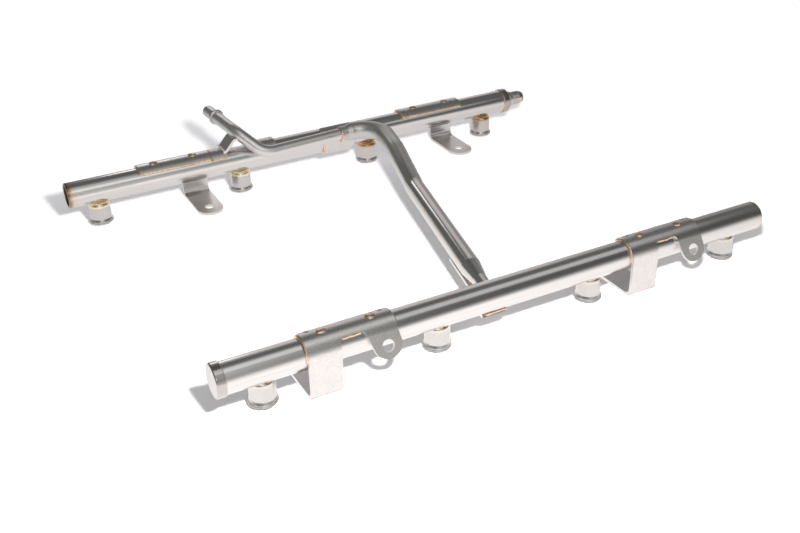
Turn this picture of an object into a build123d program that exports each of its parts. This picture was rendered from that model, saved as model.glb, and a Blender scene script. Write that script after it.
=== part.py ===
import os
from math import asin, cos, degrees, radians, sin, sqrt, tan

from build123d import *

# Fuel rail for a V8 engine, in millimetres, standing on its feet with +Z up.
# The origin is midway between the two foot holes of the near rail, on the underside of the feet.
# X runs along the rails, and Y runs from the near rail to the far one.

# Rail tubes
rail_diameter = 19.05
rail_wall = 1.25
rail_spacing = 276.75
rail_height = 26.38
cylinder_pitch = 111.76
bank_offset = 24.13
foot_shift = 22.25
near_left_margin = 27.5
near_right_margin = 23.4
far_left_margin = 21.9
far_right_margin = 25.5
braze_gap = 0.05

# Injector cups
cup_bore_diameter = 14.0
cup_wall = 0.85
cup_height = 16.0
cup_offset = 2.3
cup_drop = 24.18
cup_rim_diameter = 17.65
cup_rim_height = 2.0
cup_rim_groove = 0.35
cup_neck_height = 1.3
cup_lead_in = 2.2
cup_lead_in_height = 1.6
cup_edge_radius = 2.6
fuel_hole_diameter = 4.0

# Stamped brackets
bracket_sheet = 2.0
saddle_length = 55.6
saddle_inboard_angle = 45.0
saddle_outboard_angle = 135.0
leg_width = 20.0
leg_bend = 4.0
foot_reach = 21.8
foot_tip = 11.8
foot_hole_diameter = 7.0
ear_tilt = 24.0
ear_root_width = 19.0
ear_hole_inset = 8.0
ear_hole_drop = 7.9
ear_hole_diameter = 7.5
ear_radius = 8.9
ear_drop = 6.8
ear_root_radius = 3.0
corner_radius = 2.0
dimple_radius = 1.9
dimple_depth = 0.8
dimple_inset = 5.0
dimple_angle = 75.0

# Caps and plugs on the rail ends
cap_wall = 0.75
cap_face = 0.9
cap_length = 5.4
cap_edge_radius = 1.0
plug_sheet = 1.0
plug_depth = 5.0
plug_recess = 0.4
plug_edge_radius = 1.2

# Crossover tube
crossover_diameter = 14.3
crossover_wall = 1.0
crossover_start_bend = 20.0
crossover_fall_bend = 37.6
crossover_bend_x = 37.3
crossover_end_x = -19.9
crossover_level_reach = 66.5
crossover_fall_reach = 52.8
crossover_neck_diameter = 10.2
crossover_neck_length = 26.0
crossover_cone_length = 17.0
crossover_hole_diameter = 8.0

# Feed line beside the far rail, shared by the inlet tube and the crossover's first end
feed_inset = 15.38
feed_lift = 8.55
feed_rise_angle = 1.146
feed_drift_angle = 1.89
feed_port_diameter = 5.0
feed_port_x = 12.0

# Inlet tube
inlet_diameter = 9.52
inlet_wall = 1.0
inlet_tip_y = 51.6
inlet_height = 23.6
inlet_tip_x = -84.0
inlet_bend_x = -80.2
inlet_bend_y = -2.4
inlet_turn_x = -63.4
inlet_top_bend = 12.0
inlet_side_bend = 16.0
bead_diameter = 12.6
bead_width = 3.2
bead_distance = 16.6
socket_wall = 1.1
socket_length = 5.0
socket_x = 3.0
socket_cone_length = 3.5

# Inlet bridge
bridge_sheet = 2.0
bridge_cradle = 0.9
bridge_gap = 1.2
bridge_left_rise = -91.0
bridge_cradle_left = 3.4
bridge_cradle_right = 2.0
bridge_shoulder_reach = 6.0
bridge_shoulder_drop = 1.2
bridge_right_fall = -67.0
bridge_right = -50.0
bridge_bend = 2.5
bridge_inboard_angle = 142.0
bridge_outboard_angle = 55.0
bridge_strap_width = 15.0

# Saddle under the crossover's first end, and brace under its second end
crossover_saddle_start = -9.0
crossover_saddle_length = 26.0
crossover_saddle_top = 100.0
crossover_saddle_bottom = 245.0
brace_width = 15.5
brace_tongue_width = 10.4
brace_shoulder = 13.0
brace_wrap_angle = 238.0
brace_bend = 3.0
brace_reach = 63.8

# Service port and its valve core
port_base_diameter = 14.0
port_groove_diameter = 12.2
port_groove_start = 1.6
port_groove_width = 1.1
port_base_length = 4.2
port_cone_length = 2.3
port_thread_diameter = 11.1
port_length = 16.9
port_tip_length = 2.5
port_tip_step = 1.0
port_shank_diameter = 8.0
port_shank_length = 4.0
port_core_bore = 5.3
port_core_depth = 7.6
port_passage = 4.3
core_clearance = 0.05
core_head_length = 6.3
core_recess = 0.9
core_barrel_diameter = 3.9
core_barrel_length = 5.5
core_spring_bore = 3.5
core_spring_depth = 4.2
seal_width = 2.0
seal_groove_diameter = 3.0
pin_diameter = 1.0
pin_clearance = 0.06
pin_proud = 0.3
pin_tail = 1.2
pin_collar_diameter = 3.0
pin_collar_length = 0.6
pin_collar_inset = 0.5
poppet_diameter = 3.4
poppet_length = 0.9
pin_seal_thickness = 0.55
spring_wire = 0.3
spring_turns = 4.0

# Radii and places worked out from the sizes above
rail_radius = rail_diameter / 2
seat_radius = rail_radius + braze_gap
near_y = -foot_reach
far_y = near_y + rail_spacing
near_x = foot_shift
far_x = near_x - bank_offset
cup_places = [(row - 1.5) * cylinder_pitch for row in range(4)]
outer_cup = cup_places[-1]
bracket_shift = foot_shift - (saddle_length - leg_width) / 2

near_bank = Plane(origin=(near_x, near_y, rail_height), x_dir=(1, 0, 0), z_dir=(0, 0, 1))
far_bank = Plane(origin=(far_x, far_y, rail_height), x_dir=(-1, 0, 0), z_dir=(0, 0, 1))
banks = {"near": near_bank, "far": far_bank}
left_to_right = {"near": cup_places, "far": cup_places[::-1]}

os.makedirs("parts", exist_ok=True)


def save(piece, name):
    piece.label = name
    export_step(piece, f"parts/{name}.step")


def polar(radius, angle):
    return (radius * cos(radians(angle)), radius * sin(radians(angle)))


def wrapped_sheet(start, end, sheet):
    # One curved band of sheet that lies on the tube, seen along the tube
    with BuildLine() as band:
        inner = CenterArc((0, 0), seat_radius, start, end - start)
        outer = CenterArc((0, 0), seat_radius + sheet, start, end - start)
        Line(inner @ 0, outer @ 0)
        Line(inner @ 1, outer @ 1)
    make_face(band.edges())


def drill_fuel_holes(bank, places):
    # Upright holes on the cups' axes, from the mouths up to the height of the tube's axis
    with BuildSketch(bank * Plane.XY.offset(-cup_drop)) as holes:
        with Locations(*[(place, cup_offset) for place in places]):
            Circle(fuel_hole_diameter / 2)
    extrude(holes.sketch, amount=cup_drop, mode=Mode.SUBTRACT)


def sheet_corner(part, x, angle):
    # The corner edge of a wrapped sheet, found by its place along the tube and round it
    return part.edges().sort_by_distance((x, *polar(seat_radius + bracket_sheet / 2, angle)))[0]


# Feed line: the straight line shared by the inlet tube and the crossover's first end.
# It is placed from the far rail's axis, and leans a little away from it along X.
feed_origin = Vector(near_x + socket_x, far_y - feed_inset, rail_height + feed_lift)
feed_direction = Vector(1, tan(radians(feed_drift_angle)), tan(radians(feed_rise_angle))).normalized()


def feed_point(distance):
    return feed_origin + feed_direction * (distance - socket_x)


# Crossover route: along the feed line, round the first bend, level, down a gentle slope,
# then level again at the height of the rails, to the near rail. Seen from above it is straight
# from the first bend to the near rail.
crossover_corner = feed_point(crossover_bend_x)
crossover_axis_end = Vector(near_x + crossover_end_x, near_y, rail_height)
crossover_slope = (crossover_corner.X - crossover_axis_end.X) / (crossover_corner.Y - near_y)


def crossover_point(y, z):
    return Vector(crossover_axis_end.X + crossover_slope * (y - near_y), y, z)


crossover_high = crossover_point(far_y - crossover_level_reach, crossover_corner.Z)
crossover_low = crossover_point(crossover_high.Y - crossover_fall_reach, rail_height)
crossover_run = (crossover_low - crossover_axis_end).normalized()
crossover_neck_start = crossover_axis_end + crossover_run * (seat_radius + crossover_neck_length)
crossover_tube_start = feed_point(socket_x + socket_length + socket_cone_length)
crossover_radius = crossover_diameter / 2
crossover_bore = crossover_radius - crossover_wall
feed_port_place = feed_point(feed_port_x)

# Feed port: one radial hole through the far rail, the saddle and the crossover's near wall
rail_axis_at_port = Vector(feed_port_place.X, far_y, rail_height)
port_direction = feed_port_place - rail_axis_at_port
feed_port_plane = Plane(origin=rail_axis_at_port, z_dir=port_direction.normalized())


def drill_feed_port():
    with BuildSketch(feed_port_plane) as port:
        Circle(feed_port_diameter / 2)
    extrude(port.sketch, amount=port_direction.length, mode=Mode.SUBTRACT)


# Crossover tube: bent from one tube, with a socket swaged at the feed end and a neck at the near rail
with BuildPart() as crossover_skin:
    with BuildLine() as crossover_path:
        FilletPolyline(
            crossover_tube_start,
            crossover_corner,
            crossover_high,
            crossover_low,
            crossover_neck_start,
            radius=[crossover_start_bend, crossover_fall_bend, crossover_fall_bend],
        )
    with BuildSketch(Plane(origin=crossover_path.line @ 0, z_dir=crossover_path.line % 0)):
        Circle(crossover_radius)
    sweep()

with BuildPart() as crossover_hollow:
    with BuildSketch(Plane(origin=crossover_path.line @ 0, z_dir=crossover_path.line % 0)):
        Circle(crossover_bore)
    sweep(path=crossover_path.line)

socket_bore = inlet_diameter / 2 + braze_gap
socket_radius = socket_bore + socket_wall
socket_plane = Plane(origin=feed_point(socket_x), x_dir=feed_direction, z_dir=feed_direction.cross(Vector(0, 0, 1)))
neck_plane = Plane(origin=crossover_neck_start, x_dir=crossover_run * -1, z_dir=(0, 0, 1))
neck_radius = crossover_neck_diameter / 2
neck_bore = neck_radius - crossover_wall
cone_end = socket_length + socket_cone_length

with BuildPart() as crossover_tube:
    add(crossover_skin.part)
    with BuildSketch(socket_plane):
        with BuildLine():
            Polyline(
                (0, 0),
                (0, socket_radius),
                (socket_length, socket_radius),
                (cone_end, crossover_radius),
                (cone_end, 0),
                close=True,
            )
        make_face()
    revolve(axis=Axis(socket_plane.origin, feed_direction))
    with BuildSketch(neck_plane):
        with BuildLine():
            Polyline(
                (0, 0),
                (0, crossover_radius),
                (crossover_cone_length, neck_radius),
                (crossover_neck_length + rail_radius, neck_radius),
                (crossover_neck_length + rail_radius, 0),
                close=True,
            )
        make_face()
    revolve(axis=Axis(neck_plane.origin, neck_plane.x_dir))
    add(crossover_hollow.part, mode=Mode.SUBTRACT)
    with BuildSketch(socket_plane):
        with BuildLine():
            Polyline(
                (0, 0),
                (0, socket_bore),
                (socket_length - braze_gap, socket_bore),
                (socket_length - braze_gap, socket_bore - inlet_wall),
                (cone_end, crossover_bore),
                (cone_end, 0),
                close=True,
            )
        make_face()
    revolve(axis=Axis(socket_plane.origin, feed_direction), mode=Mode.SUBTRACT)
    with BuildSketch(neck_plane):
        with BuildLine():
            Polyline(
                (0, 0),
                (0, crossover_bore),
                (crossover_cone_length, neck_bore),
                (crossover_neck_length + rail_radius, neck_bore),
                (crossover_neck_length + rail_radius, 0),
                close=True,
            )
        make_face()
    revolve(axis=Axis(neck_plane.origin, neck_plane.x_dir), mode=Mode.SUBTRACT)
    with BuildSketch(Plane.YZ.offset(crossover_axis_end.X - rail_diameter)):
        with Locations((near_y, rail_height)):
            Circle(seat_radius)
    extrude(amount=2 * rail_diameter, mode=Mode.SUBTRACT)
    drill_feed_port()
save(crossover_tube.part, "crossover_tube")

# Inlet tube: one bent tube with a rolled bead, seated in the crossover's socket
inlet_radius = inlet_diameter / 2
inlet_tip = Vector(near_x + inlet_tip_x, far_y + inlet_tip_y, rail_height + inlet_height)
inlet_bend = Vector(near_x + inlet_bend_x, far_y + inlet_bend_y, rail_height + inlet_height)
inlet_turn = feed_point(inlet_turn_x)
inlet_end = feed_point(socket_x + socket_length - 2 * braze_gap)


def sweep_inlet(radius):
    with BuildLine() as path:
        FilletPolyline(
            inlet_tip,
            inlet_bend,
            inlet_turn,
            inlet_end,
            radius=[inlet_top_bend, inlet_side_bend],
        )
    with BuildSketch(Plane(origin=path.line @ 0, z_dir=path.line % 0)) as section:
        Circle(radius)
    sweep(section.sketch, path=path.line)


with BuildPart() as inlet_hollow:
    sweep_inlet(inlet_radius - inlet_wall)

inlet_run = (inlet_bend - inlet_tip).normalized()
bead_plane = Plane(origin=inlet_tip + inlet_run * bead_distance, x_dir=inlet_run, z_dir=(0, 0, 1))

with BuildPart() as inlet_tube:
    sweep_inlet(inlet_radius)
    with BuildSketch(bead_plane):
        with BuildLine():
            Line((-bead_width / 2, 0), (-bead_width / 2, inlet_radius))
            ThreePointArc(
                (-bead_width / 2, inlet_radius),
                (0, bead_diameter / 2),
                (bead_width / 2, inlet_radius),
            )
            Line((bead_width / 2, inlet_radius), (bead_width / 2, 0))
            Line((bead_width / 2, 0), (-bead_width / 2, 0))
        make_face()
    revolve(axis=Axis(bead_plane.origin, inlet_run))
    add(inlet_hollow.part, mode=Mode.SUBTRACT)
save(inlet_tube.part, "inlet_tube")

# Rail tubes: cut to length, drilled over each cup and where the crossover meets them
near_left = near_x - outer_cup - near_left_margin
near_right = near_x + outer_cup + near_right_margin
far_left = far_x - outer_cup - far_left_margin
far_right = far_x + outer_cup + far_right_margin


def rail_tube(y, left, right):
    start = Plane(origin=(left, y, rail_height), x_dir=(0, 1, 0), z_dir=(1, 0, 0))
    with BuildSketch(start) as ring:
        Circle(rail_radius)
        Circle(rail_radius - rail_wall, mode=Mode.SUBTRACT)
    extrude(ring.sketch, amount=right - left)


with BuildPart() as rail_tube_near:
    rail_tube(near_y, near_left, near_right)
    drill_fuel_holes(near_bank, cup_places)
    with BuildSketch(Plane(origin=crossover_axis_end, z_dir=crossover_run)):
        Circle(crossover_hole_diameter / 2)
    extrude(amount=rail_diameter, mode=Mode.SUBTRACT)
save(rail_tube_near.part, "rail_tube_near")

with BuildPart() as rail_tube_far:
    rail_tube(far_y, far_left, far_right)
    drill_fuel_holes(far_bank, cup_places)
    drill_feed_port()
save(rail_tube_far.part, "rail_tube_far")

# Injector cup: drawn from sheet, flared at the mouth, rounded on top, with a saddle for the tube.
# It stands upright, a little inboard of the tube's axis, and is drawn from its mouth upwards.
cup_mouth = Vector(0, cup_offset, -cup_drop)
cup_plane = Plane(origin=cup_mouth, x_dir=(0, 1, 0), z_dir=(1, 0, 0))
cup_axis = Axis(cup_mouth, (0, 0, 1))
cup_bore = cup_bore_diameter / 2
cup_body = cup_bore + cup_wall
cup_rim = cup_rim_diameter / 2
lip = (cup_rim_height - cup_rim_groove) / 2
cup_shoulder = cup_height - cup_edge_radius
cup_inner_radius = cup_edge_radius - cup_wall

with BuildPart() as cup_cavity:
    with BuildSketch(cup_plane):
        with BuildLine():
            Polyline(
                (0, -braze_gap),
                (cup_lead_in / 2 + cup_bore - cup_wall, -braze_gap),
                (cup_bore, cup_lead_in_height),
                (cup_bore, cup_shoulder),
            )
            CenterArc((cup_bore - cup_inner_radius, cup_shoulder), cup_inner_radius, 0, 90)
            Polyline(
                (cup_bore - cup_inner_radius, cup_height - cup_wall),
                (0, cup_height - cup_wall),
                (0, -braze_gap),
            )
        make_face()
    revolve(axis=cup_axis)
    with BuildSketch(Plane.YZ.offset(-cup_rim)):
        Circle(seat_radius + cup_wall)
    extrude(amount=2 * cup_rim, mode=Mode.SUBTRACT)

with BuildPart() as injector_cup:
    with BuildSketch(cup_plane):
        with BuildLine():
            Line((0, 0), (cup_rim - lip / 2, 0))
            ThreePointArc((cup_rim - lip / 2, 0), (cup_rim, lip / 2), (cup_rim - lip / 2, lip))
            Line((cup_rim - lip / 2, lip), (cup_rim - lip / 2, lip + cup_rim_groove))
            ThreePointArc(
                (cup_rim - lip / 2, lip + cup_rim_groove),
                (cup_rim, cup_rim_height - lip / 2),
                (cup_rim - lip / 2, cup_rim_height),
            )
            Polyline(
                (cup_rim - lip / 2, cup_rim_height),
                (cup_body, cup_rim_height + cup_neck_height),
                (cup_body, cup_shoulder),
            )
            CenterArc((cup_body - cup_edge_radius, cup_shoulder), cup_edge_radius, 0, 90)
            Polyline((cup_body - cup_edge_radius, cup_height), (0, cup_height), (0, 0))
        make_face()
    revolve(axis=cup_axis)
    with BuildSketch(Plane.YZ.offset(-cup_rim)):
        Circle(seat_radius)
    extrude(amount=2 * cup_rim, mode=Mode.SUBTRACT)
    add(cup_cavity.part, mode=Mode.SUBTRACT)
    drill_fuel_holes(Plane.XY, [0])

for bank_name, bank in banks.items():
    for number, place in enumerate(left_to_right[bank_name], start=1):
        cup = injector_cup.part.moved(bank.location * Location((place, 0, 0)))
        save(cup, f"injector_cup_{bank_name}_{number}")

# Bracket: one stamping with a saddle over the tube, a leg that folds under it to a foot, and an ear
saddle_outer = seat_radius + bracket_sheet
ear_angle = 180 - ear_tilt
saddle_end = saddle_length / 2
outer_bend = leg_bend + bracket_sheet
floor = -rail_height
foot_end = foot_reach + foot_tip

with BuildPart() as bracket:
    with BuildSketch(Plane.YZ.offset(-saddle_end)):
        wrapped_sheet(saddle_inboard_angle, saddle_outboard_angle, bracket_sheet)
    extrude(amount=saddle_length)
    with BuildSketch(Plane.YZ.offset(-saddle_end)):
        with BuildLine():
            arc = CenterArc((0, 0), saddle_outer, saddle_outboard_angle, 180 - saddle_outboard_angle)
            bend = CenterArc((outer_bend - saddle_outer, floor + outer_bend), outer_bend, 180, 90)
            Line(arc @ 1, bend @ 0)
            tip = Polyline(bend @ 1, (foot_end, floor), (foot_end, floor + bracket_sheet))
            inner_bend = CenterArc((outer_bend - saddle_outer, floor + outer_bend), leg_bend, 270, -90)
            Line(tip @ 1, inner_bend @ 0)
            inner_arc = CenterArc((0, 0), seat_radius, 180, saddle_outboard_angle - 180)
            Line(inner_bend @ 1, inner_arc @ 0)
            Line(inner_arc @ 1, arc @ 0)
        make_face()
    extrude(amount=leg_width)
    tip_edges = bracket.edges().filter_by(Axis.Z).group_by(Axis.Y)[-1]
    fillet(tip_edges, leg_width / 2 - braze_gap)
    with BuildSketch(Plane.XY.offset(floor)):
        with Locations((leg_width / 2 - saddle_end, foot_reach)):
            Circle(foot_hole_diameter / 2)
    extrude(amount=bracket_sheet, mode=Mode.SUBTRACT)
    with BuildSketch(Plane.YZ.offset(saddle_end - ear_root_width)):
        wrapped_sheet(saddle_outboard_angle, ear_angle, bracket_sheet)
    extrude(amount=ear_root_width)
    ear_foot = polar(saddle_outer, ear_angle)
    ear_plane = Plane(
        origin=(0, *ear_foot),
        x_dir=(1, 0, 0),
        z_dir=(0, *polar(1, ear_angle)),
    )
    with BuildSketch(ear_plane):
        with BuildLine():
            Line((saddle_end - ear_root_width, 0), (saddle_end, 0))
            CenterArc((saddle_end - ear_hole_inset, -ear_drop), ear_radius, 180, 180)
        make_hull()
        with Locations((saddle_end - ear_hole_inset, -ear_hole_drop)):
            Circle(ear_hole_diameter / 2, mode=Mode.SUBTRACT)
    extrude(amount=-bracket_sheet)
    fillet(sheet_corner(bracket, saddle_end - ear_root_width, saddle_outboard_angle), ear_root_radius)
    fillet(sheet_corner(bracket, leg_width - saddle_end, saddle_outboard_angle), corner_radius)
    for side in (-1, 1):
        fillet(sheet_corner(bracket, side * saddle_end, saddle_inboard_angle), corner_radius)
        centre = polar(saddle_outer + dimple_radius - dimple_depth, dimple_angle)
        with Locations((side * (saddle_end - dimple_inset), *centre)):
            Sphere(dimple_radius, mode=Mode.SUBTRACT)

for bank_name, bank in banks.items():
    for side in (-1, 1):
        place = Location((side * cylinder_pitch - bracket_shift, 0, 0))
        stamping = bracket.part.moved(bank.location * place)
        side_name = "left" if stamping.center().X < (near_x + far_x) / 2 else "right"
        save(stamping, f"bracket_{bank_name}_{side_name}")

# End caps: drawn over the tube's end, the far one pierced for the service port.
# They are drawn for a right-hand end, with the closed face at x = 0.
cap_radius = seat_radius + cap_wall


def end_cap(hole_radius):
    with BuildSketch() as section:
        with BuildLine():
            Polyline(
                (0, hole_radius),
                (0, cap_radius),
                (-cap_length, cap_radius),
                (-cap_length, seat_radius),
                (-cap_face, seat_radius),
                (-cap_face, hole_radius),
                close=True,
            )
        make_face()
    revolve(section.sketch, axis=Axis.X)


with BuildPart() as closed_cap:
    end_cap(0)
    fillet(closed_cap.edges().filter_by(GeomType.CIRCLE).sort_by(Axis.X)[-1], cap_edge_radius)
near_cap_face = near_left - cap_face - braze_gap
save(closed_cap.part.moved(Location((near_cap_face, near_y, rail_height), (0, 0, 180))), "end_cap_near")

port_hole = port_shank_diameter / 2 + braze_gap
with BuildPart() as pierced_cap:
    end_cap(port_hole)
    rim = pierced_cap.edges().filter_by(GeomType.CIRCLE).group_by(Axis.X)[-1].sort_by(SortBy.RADIUS)[-1]
    fillet(rim, cap_edge_radius)
far_cap_face = far_right + cap_face + braze_gap
save(pierced_cap.part.moved(Location((far_cap_face, far_y, rail_height))), "end_cap_far")

# End plugs: shallow drawn cups pressed into the tubes, with the open side outwards
plug_radius = rail_radius - rail_wall - braze_gap
with BuildPart() as end_plug:
    with BuildSketch():
        with BuildLine():
            Polyline(
                (-plug_recess, plug_radius),
                (-plug_recess - plug_depth, plug_radius),
                (-plug_recess - plug_depth, 0),
                (plug_sheet - plug_recess - plug_depth, 0),
                (plug_sheet - plug_recess - plug_depth, plug_radius - plug_sheet),
                (-plug_recess, plug_radius - plug_sheet),
                close=True,
            )
        make_face()
    revolve(axis=Axis.X)
    fillet(end_plug.edges().filter_by(GeomType.CIRCLE).sort_by(Axis.X)[0], plug_edge_radius)
save(end_plug.part.moved(Location((near_right, near_y, rail_height))), "end_plug_near")
save(end_plug.part.moved(Location((far_left, far_y, rail_height), (0, 0, 180))), "end_plug_far")

# Inlet bridge: one strap, saddled on the far rail at both ends and raised between them.
# It is drawn with the far rail's axis on the X axis, and its places along the rail are measured
# from the middle of the near cups.
# The strap dips under the tube and rises beside it to a shoulder.
bridge_place = Location((near_x, far_y, rail_height))
bridge_left = foot_shift + leg_width / 2 + bridge_gap - bank_offset - cylinder_pitch
strap_cradle = inlet_height - inlet_radius + bridge_cradle - bridge_sheet / 2
strap_root = seat_radius + bridge_sheet / 2
shoulder_x = inlet_bend_x + bridge_shoulder_reach
shoulder_z = inlet_height - bridge_shoulder_drop

with BuildPart() as inlet_bridge:
    with BuildSketch(Plane.YZ.offset(bridge_left)):
        wrapped_sheet(bridge_outboard_angle, bridge_inboard_angle, bridge_sheet)
    extrude(amount=bridge_left_rise - bridge_left)
    with BuildSketch(Plane.YZ.offset(bridge_right_fall)):
        wrapped_sheet(bridge_outboard_angle, bridge_inboard_angle, bridge_sheet)
    extrude(amount=bridge_right - bridge_right_fall)
    with BuildSketch(Plane.XZ):
        with BuildLine() as strap_line:
            FilletPolyline(
                (bridge_left_rise - bridge_sheet, strap_root),
                (bridge_left_rise, strap_root),
                (inlet_bend_x - bridge_cradle_left, strap_cradle),
                (inlet_bend_x + bridge_cradle_right, strap_cradle),
                (shoulder_x, shoulder_z),
                (bridge_right_fall, strap_root),
                (bridge_right_fall + bridge_sheet, strap_root),
                radius=bridge_bend,
            )
        trace(line_width=bridge_sheet)
    extrude(amount=bridge_strap_width / 2, both=True)
    with BuildSketch(Plane.YZ.offset(bridge_left)):
        Circle(seat_radius)
    extrude(amount=bridge_right - bridge_left, mode=Mode.SUBTRACT)
    for x in (bridge_left, bridge_right):
        for angle in (bridge_outboard_angle, bridge_inboard_angle):
            fillet(sheet_corner(inlet_bridge, x, angle), corner_radius)
    for x in (bridge_left + dimple_inset, bridge_right - dimple_inset):
        centre = polar(saddle_outer + dimple_radius - dimple_depth, 180 - dimple_angle)
        with Locations((x, *centre)):
            Sphere(dimple_radius, mode=Mode.SUBTRACT)

with BuildPart() as inlet_envelope:
    sweep_inlet(inlet_radius + braze_gap)

with BuildPart() as placed_bridge:
    add(inlet_bridge.part.moved(bridge_place))
    add(inlet_envelope.part, mode=Mode.SUBTRACT)
save(placed_bridge.part, "inlet_bridge")

# Crossover saddle: a curved plate on the far rail, pocketed for the crossover and drilled for the feed
with BuildPart() as crossover_envelope:
    with BuildSketch(Plane(origin=crossover_path.line @ 0, z_dir=crossover_path.line % 0)):
        Circle(crossover_radius + braze_gap)
    sweep(path=crossover_path.line)
    with BuildSketch(socket_plane):
        with BuildLine():
            Polyline(
                (-rail_diameter, 0),
                (-rail_diameter, socket_radius + braze_gap),
                (socket_length, socket_radius + braze_gap),
                (cone_end, crossover_radius + braze_gap),
                (cone_end, 0),
                close=True,
            )
        make_face()
    revolve(axis=Axis(socket_plane.origin, feed_direction))

with BuildPart() as crossover_saddle:
    saddle_start = Plane.YZ.offset(near_x + crossover_saddle_start)
    with BuildSketch(saddle_start * Plane(origin=(far_y, rail_height, 0))):
        wrapped_sheet(crossover_saddle_top, crossover_saddle_bottom, bracket_sheet)
    extrude(amount=crossover_saddle_length)
    add(crossover_envelope.part, mode=Mode.SUBTRACT)
    drill_feed_port()
save(crossover_saddle.part, "crossover_saddle")

# Crossover brace: a strap that wraps under the near rail and lies flat under the crossover.
# Its section is drawn square to the rail, then cut to the strap's skewed width seen from above.
brace_top = -crossover_radius - braze_gap
brace_under = brace_top - bracket_sheet
brace_centre_z = brace_under - brace_bend
brace_centre_y = sqrt((saddle_outer + brace_bend) ** 2 - brace_centre_z**2)
brace_turn = degrees(asin(-brace_centre_z / (saddle_outer + brace_bend)))
brace_back = brace_shoulder + rail_diameter

with BuildPart() as crossover_brace:
    brace_section = Plane(
        origin=(crossover_axis_end.X - rail_diameter, near_y, rail_height),
        x_dir=(0, 1, 0),
        z_dir=(1, 0, 0),
    )
    with BuildSketch(brace_section):
        with BuildLine():
            wrap = 360 - brace_turn - brace_wrap_angle
            under = CenterArc((0, 0), saddle_outer, brace_wrap_angle, wrap)
            over = CenterArc((0, 0), seat_radius, brace_wrap_angle, wrap)
            Line(under @ 0, over @ 0)
            low_bend = CenterArc((brace_centre_y, brace_centre_z), brace_bend, 180 - brace_turn, brace_turn - 90)
            high_bend = CenterArc(
                (brace_centre_y, brace_centre_z),
                brace_bend + bracket_sheet,
                180 - brace_turn,
                brace_turn - 90,
            )
            Polyline(
                low_bend @ 1,
                (brace_reach, brace_under),
                (brace_reach, brace_top),
                high_bend @ 1,
            )
        make_face()
    extrude(amount=rail_diameter + brace_reach)
    brace_strip = Plane(origin=crossover_axis_end, x_dir=crossover_run, z_dir=(0, 0, 1))
    with BuildSketch(brace_strip) as brace_outline:
        with Locations((brace_shoulder, 0)):
            Rectangle(brace_back, brace_width, align=(Align.MAX, Align.CENTER))
        Rectangle(brace_reach + rail_diameter, brace_tongue_width, align=(Align.MIN, Align.CENTER))
        shoulders = brace_outline.vertices().group_by(Axis.Y)[2]
        fillet(shoulders, corner_radius)
    extrude(amount=rail_height, both=True, mode=Mode.INTERSECT)
save(crossover_brace.part, "crossover_brace")

# Service port: a turned fitting in the far cap, with the valve core in its bore.
# The port and the core are drawn along X, with the cap's face at x = 0.
port_place = Location((far_cap_face + braze_gap, far_y, rail_height))
port_base = port_base_diameter / 2
port_thread = port_thread_diameter / 2
cone_top = port_base_length + port_cone_length
core_seat = port_length - port_core_depth

with BuildPart() as service_port:
    with BuildSketch():
        with BuildLine():
            Polyline(
                (-port_shank_length, port_passage / 2),
                (-port_shank_length, port_shank_diameter / 2),
                (0, port_shank_diameter / 2),
                (0, port_base),
                (port_groove_start, port_base),
                (port_groove_start, port_groove_diameter / 2),
                (port_groove_start + port_groove_width, port_groove_diameter / 2),
                (port_groove_start + port_groove_width, port_base),
                (port_base_length, port_base),
                (cone_top, port_thread),
                (port_length - port_tip_length, port_thread),
                (port_length, port_thread - port_tip_step),
                (port_length, port_core_bore / 2),
                (core_seat, port_core_bore / 2),
                (core_seat - (port_core_bore - port_passage) / 2, port_passage / 2),
                close=True,
            )
        make_face()
    revolve(axis=Axis.X)
save(service_port.part.moved(port_place), "service_port")

# Valve core body: screwed into the port, with a guide for the pin and a seat at its inner end
head_radius = port_core_bore / 2 - core_clearance
barrel_radius = core_barrel_diameter / 2
core_face = port_length - core_recess
head_start = core_face - core_head_length
core_end = head_start - core_barrel_length
guide_radius = pin_diameter / 2 + pin_clearance
spring_seat = core_face - core_spring_depth
seal_start = head_start - 2.5 * core_clearance - seal_width - (port_core_bore - port_passage) / 2

with BuildPart() as valve_core_body:
    with BuildSketch():
        with BuildLine():
            Polyline(
                (core_end, guide_radius),
                (core_end, barrel_radius),
                (seal_start, barrel_radius),
                (seal_start, seal_groove_diameter / 2),
                (seal_start + seal_width, seal_groove_diameter / 2),
                (seal_start + seal_width, barrel_radius),
                (head_start, barrel_radius),
                (head_start, head_radius),
                (core_face, head_radius),
                (core_face, core_spring_bore / 2),
                (spring_seat, core_spring_bore / 2),
                (spring_seat, guide_radius),
                close=True,
            )
        make_face()
    revolve(axis=Axis.X)
save(valve_core_body.part.moved(port_place), "valve_core_body")

# Seal ring round the core's barrel
with BuildPart() as valve_core_seal:
    with BuildSketch():
        with BuildLine():
            Polyline(
                (seal_start + core_clearance, seal_groove_diameter / 2 + core_clearance),
                (seal_start + core_clearance, port_passage / 2 - core_clearance),
                (seal_start + seal_width - core_clearance, port_passage / 2 - core_clearance),
                (seal_start + seal_width - core_clearance, seal_groove_diameter / 2 + core_clearance),
                close=True,
            )
        make_face()
    revolve(axis=Axis.X)
save(valve_core_seal.part.moved(port_place), "valve_core_seal")

# Valve pin: a thin stem with a collar for the spring and a poppet that closes from inside
pin_radius = pin_diameter / 2
collar_start = core_face - pin_collar_inset - pin_collar_length
washer_face = core_end - core_clearance
poppet_face = washer_face - pin_seal_thickness

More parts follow.
